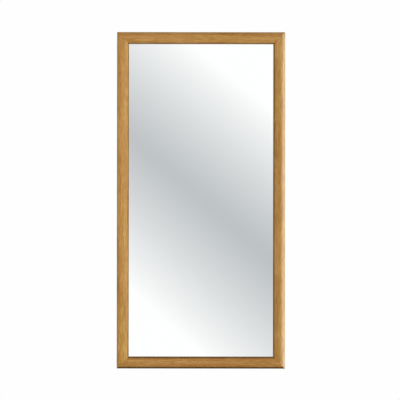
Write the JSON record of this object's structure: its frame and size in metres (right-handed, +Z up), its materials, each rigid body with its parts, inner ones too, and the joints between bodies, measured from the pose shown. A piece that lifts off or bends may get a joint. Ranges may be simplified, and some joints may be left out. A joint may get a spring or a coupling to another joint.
{
  "type": "hall mirror",
  "caption": "Tall rectangular wall mirror in a rounded oak frame with mitred corners, hung from swinging rings behind its stiles.",
  "frame": {"origin": "on the wall plane, midway between the two hooks, at the height where they bear in the rings", "axes": "+X to the viewer's right, +Y from the mirror's face to the wall, +Z up"},
  "size_m": [0.6, 0.034, 1.2],
  "materials": {
    "oak": "satin lacquer over honey oak",
    "beech": "raw",
    "mirror": "silvered on the back",
    "back_board": "raw fibreboard",
    "foam": "closed-cell foam",
    "rubber": "matt",
    "zinc_steel": "bright zinc plate"
  },
  "bodies": {
    "mirror": {"top_rail": "oak", "bottom_rail": "oak", "left_stile": "oak", "right_stile": "oak", "top_left_mitre_biscuit": "beech", "top_right_mitre_biscuit": "beech", "bottom_left_mitre_biscuit": "beech", "bottom_right_mitre_biscuit": "beech", "corner_v_nails": "zinc_steel", "mirror_glass": "mirror", "glass_setting_blocks": "rubber", "glass_edge_spacers": "rubber", "foam_sheet": "foam", "back_panel": "back_board", "back_panel_screws": "zinc_steel", "left_hanger_strap": "zinc_steel", "right_hanger_strap": "zinc_steel", "hanger_screws": "zinc_steel", "wall_bumpers": "rubber"},
    "left_ring": {"left_d_ring": "zinc_steel"},
    "right_ring": {"right_d_ring": "zinc_steel"}
  },
  "joints": [
    {"name": "left_ring_swing", "type": "hinge", "parent": "mirror", "child": "left_ring", "pos_m": [-0.28725, -0.0032, -0.0165], "axis": [-1, 0, 0], "range_deg": [-3, 175]},
    {"name": "right_ring_swing", "type": "hinge", "parent": "mirror", "child": "right_ring", "pos_m": [0.28725, -0.0032, -0.0165], "axis": [-1, 0, 0], "range_deg": [-3, 175]}
  ]
}
